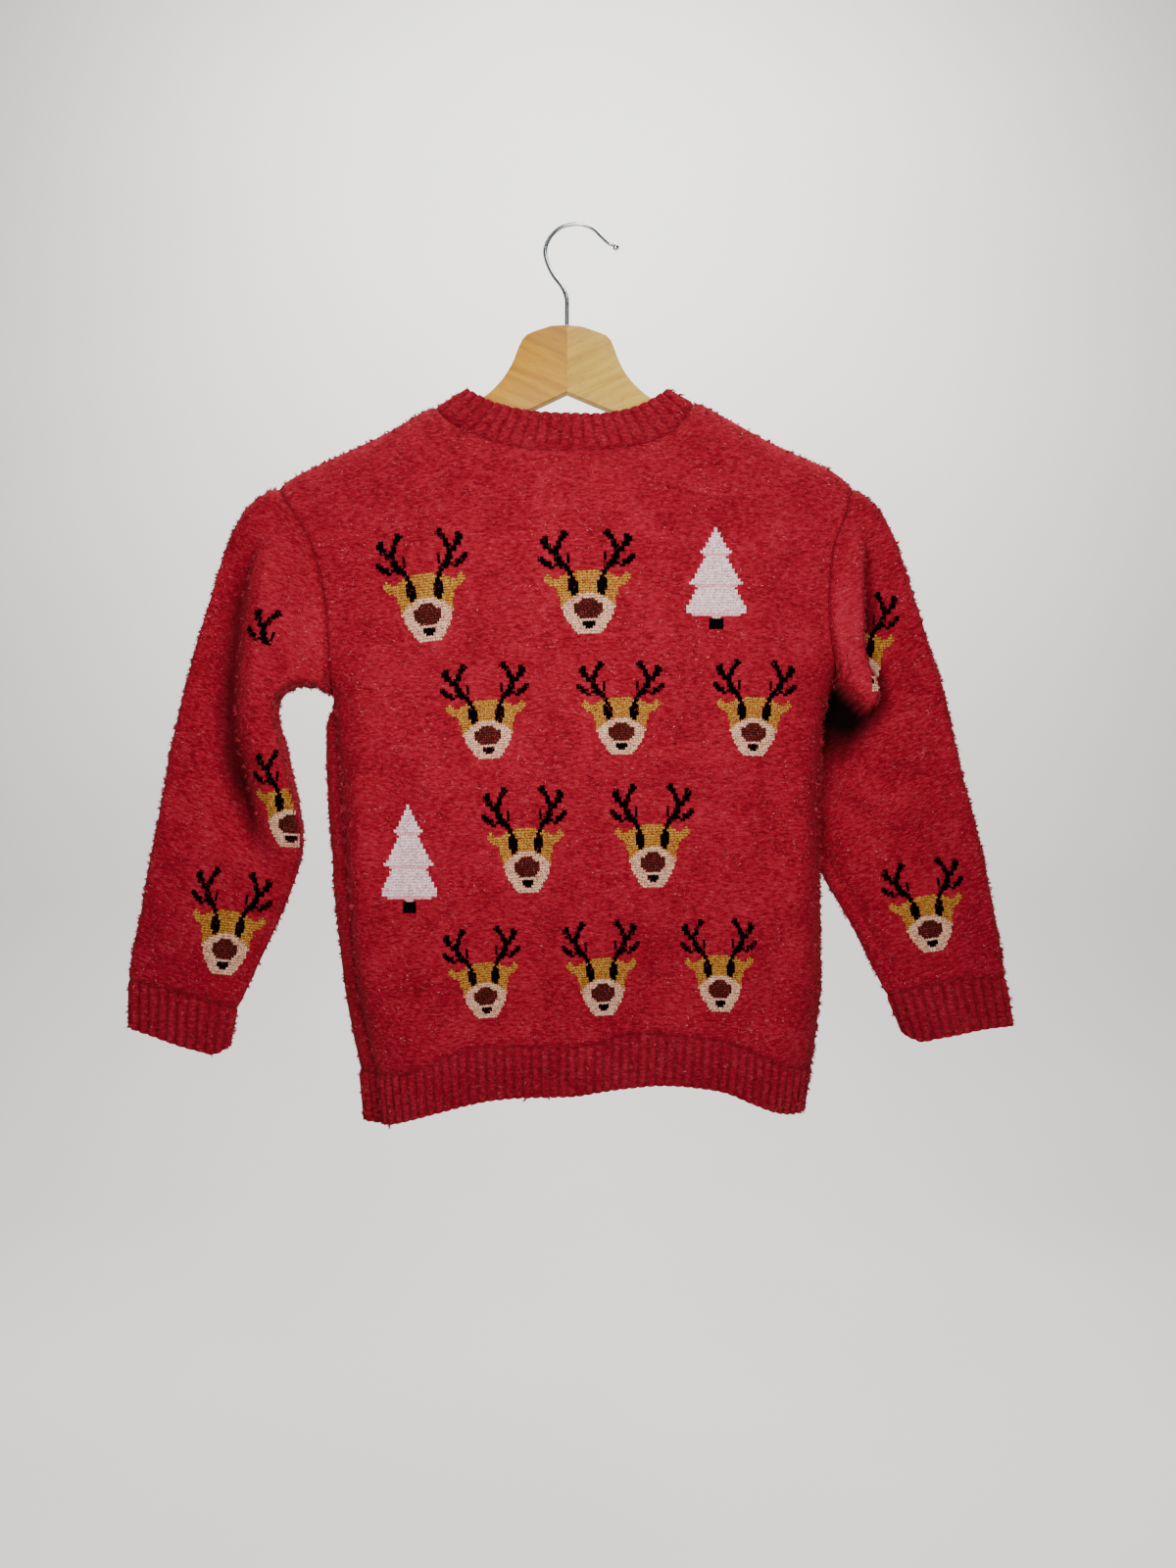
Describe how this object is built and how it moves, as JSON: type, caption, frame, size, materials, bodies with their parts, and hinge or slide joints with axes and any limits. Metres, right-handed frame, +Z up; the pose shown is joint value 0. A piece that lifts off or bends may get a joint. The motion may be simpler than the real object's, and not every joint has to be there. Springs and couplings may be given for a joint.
{
  "type": "knitted sweater on a wooden hanger",
  "caption": "Child's crew-neck knitted sweater with long sleeves and ribbed edges, hung on a flat wooden clothes hanger with a bent wire hook.",
  "frame": {"origin": "underside of the hook's crown, where a rail or nail holds the hanger", "axes": "+Z up, +X towards the right sleeve of the side that shows, -Y towards the side that shows, which is the garment's back"},
  "size_m": [0.6777, 0.0703, 0.6872],
  "materials": {
    "red_knit": "felted wool knit",
    "red_rib_knit": "ribbed wool knit",
    "beech": "satin varnish",
    "pale_beech": "satin varnish",
    "chromed_wire": "bright"
  },
  "bodies": {
    "root": {"back_panel": "red_knit", "front_panel": "red_knit", "sleeve_left": "red_knit", "sleeve_right": "red_knit", "neckband": "red_rib_knit", "hem_rib_back": "red_rib_knit", "hem_rib_front": "red_rib_knit", "cuff_left": "red_rib_knit", "cuff_right": "red_rib_knit", "hanger_left": "beech", "hanger_right": "pale_beech", "hook": "chromed_wire"}
  },
  "joints": []
}
